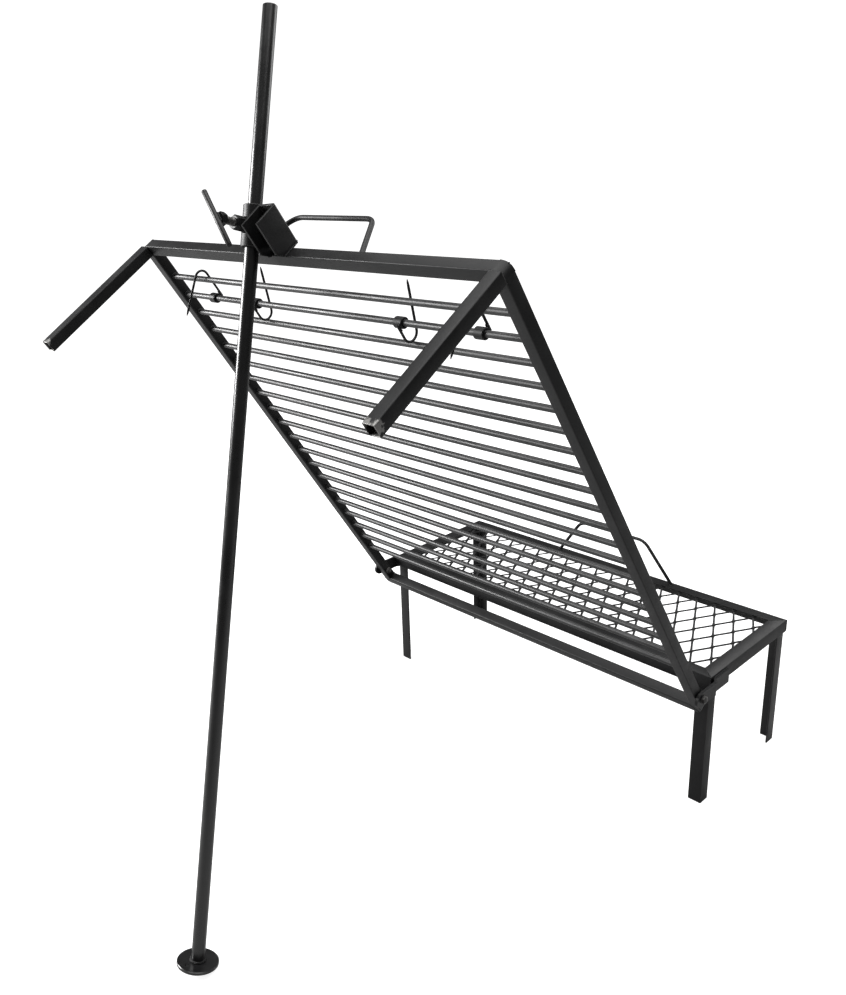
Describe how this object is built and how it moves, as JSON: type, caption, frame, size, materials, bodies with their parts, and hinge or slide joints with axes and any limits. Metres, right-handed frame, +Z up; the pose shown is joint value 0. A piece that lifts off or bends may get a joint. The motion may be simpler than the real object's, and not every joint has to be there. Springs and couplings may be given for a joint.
{
  "type": "folding campfire roasting grill",
  "caption": "Folding campfire grill: low mesh grate on legs with a hinged barred panel leaning forward, propped by a pole in a screw clamp; sliding hooks on an upper bar.",
  "frame": {"origin": "centre of the bounding box's footprint, on the ground", "axes": "+Z up; +X along the hinge between grate and panel, to the right of a person who stands in front of it; -Y towards that person and the pole's foot, +Y towards the low grate"},
  "size_m": [0.8236, 1.2, 1.3862],
  "materials": {
    "black_paint": "satin black paint, worn on the edges and ends",
    "dull_black_paint": "dull black paint on expanded mesh",
    "worn_steel": "blackened steel hardware, worn to bare metal on the threads"
  },
  "bodies": {
    "grate": {"front_rail": "black_paint", "rear_rail": "black_paint", "left_rail": "black_paint", "right_rail": "black_paint", "grate_mesh": "dull_black_paint", "leg_front_left": "black_paint", "leg_front_right": "black_paint", "leg_back_right": "black_paint", "leg_back_left": "black_paint", "grate_handle": "black_paint", "hinge_lug_left": "black_paint", "hinge_lug_right": "black_paint", "hinge_bolt_left": "worn_steel", "hinge_bolt_right": "worn_steel"},
    "panel": {"side_rail_left": "black_paint", "side_rail_right": "black_paint", "top_rail": "black_paint", "bottom_rail": "black_paint", "arm_left": "black_paint", "arm_right": "black_paint", "bar_01": "black_paint", "bar_02": "black_paint", "bar_03": "black_paint", "bar_04": "black_paint", "bar_05": "black_paint", "bar_06": "black_paint", "bar_07": "black_paint", "bar_08": "black_paint", "bar_09": "black_paint", "bar_10": "black_paint", "bar_11": "black_paint", "bar_12": "black_paint", "bar_13": "black_paint", "bar_14": "black_paint", "bar_15": "black_paint", "bar_16": "black_paint", "bar_17": "black_paint", "bar_18": "black_paint", "bar_19": "black_paint", "bar_20": "black_paint", "top_handle": "black_paint", "clamp_channel": "black_paint"},
    "clamp": {"sleeve": "black_paint", "pivot_pin": "worn_steel", "pivot_nut": "worn_steel", "screw_boss": "black_paint"},
    "pole": {"pole": "black_paint", "foot_plate": "black_paint"},
    "clamp_screw": {"clamp_screw": "worn_steel"},
    "tee_handle": {"tee_head": "black_paint", "tee_bar": "black_paint"},
    "collar_1": {"collar_1": "black_paint"},
    "hook_1": {"hook_1": "black_paint"},
    "collar_2": {"collar_2": "black_paint"},
    "hook_2": {"hook_2": "black_paint"},
    "collar_3": {"collar_3": "black_paint"},
    "hook_3": {"hook_3": "black_paint"},
    "collar_4": {"collar_4": "black_paint"},
    "hook_4": {"hook_4": "black_paint"}
  },
  "joints": [
    {"name": "panel_hinge", "type": "hinge", "parent": "grate", "child": "panel", "pos_m": [0, 0.2617, 0.25244], "axis": [1, 0, 0], "range_deg": [-85, 56.8]},
    {"name": "clamp_swing", "type": "hinge", "parent": "panel", "child": "clamp", "pos_m": [-0.0483, -0.28021, 1.08681], "axis": [0.9937, 0.094, 0.0615], "range_deg": [-60, 15]},
    {"name": "pole_slide", "type": "slide", "parent": "clamp", "child": "pole", "axis": [-0.0839, 0.2576, 0.9626], "range_m": [-0.24, 0.95]},
    {"name": "screw_travel", "type": "slide", "parent": "clamp", "child": "clamp_screw", "axis": [0.0747, -0.9617, 0.2638], "range_m": [0, 0.0106]},
    {"name": "tee_turn", "type": "hinge", "parent": "clamp_screw", "child": "tee_handle", "pos_m": [-0.0483, -0.28021, 1.08681], "axis": [0.0747, -0.9617, 0.2638], "range_deg": [0, 2160]},
    {"name": "collar_1_slide", "type": "slide", "parent": "panel", "child": "collar_1", "axis": [1, 0, 0], "range_m": [-0.07, 0.055]},
    {"name": "hook_1_swing", "type": "hinge", "parent": "collar_1", "child": "hook_1", "pos_m": [-0.292, -0.19794, 0.95565], "axis": [1, 0, 0], "range_deg": [-150, 4]},
    {"name": "collar_2_slide", "type": "slide", "parent": "panel", "child": "collar_2", "axis": [1, 0, 0], "range_m": [-0.045, 0.15]},
    {"name": "hook_2_swing", "type": "hinge", "parent": "collar_2", "child": "hook_2", "pos_m": [-0.172, -0.19794, 0.95565], "axis": [1, 0, 0], "range_deg": [-105, 35]},
    {"name": "collar_3_slide", "type": "slide", "parent": "panel", "child": "collar_3", "axis": [1, 0, 0], "range_m": [-0.15, 0.065]},
    {"name": "hook_3_swing", "type": "hinge", "parent": "collar_3", "child": "hook_3", "pos_m": [0.1634, -0.19794, 0.95565], "axis": [1, 0, 0], "range_deg": [-105, 35]},
    {"name": "collar_4_slide", "type": "slide", "parent": "panel", "child": "collar_4", "axis": [1, 0, 0], "range_m": [-0.06, 0.06]},
    {"name": "hook_4_swing", "type": "hinge", "parent": "collar_4", "child": "hook_4", "pos_m": [0.3085, -0.19794, 0.95565], "axis": [1, 0, 0], "range_deg": [-150, 4]}
  ],
  "couplings": [
    {"joint": "screw_travel", "follows": "tee_turn", "m_per_rad": 0.00027852}
  ]
}
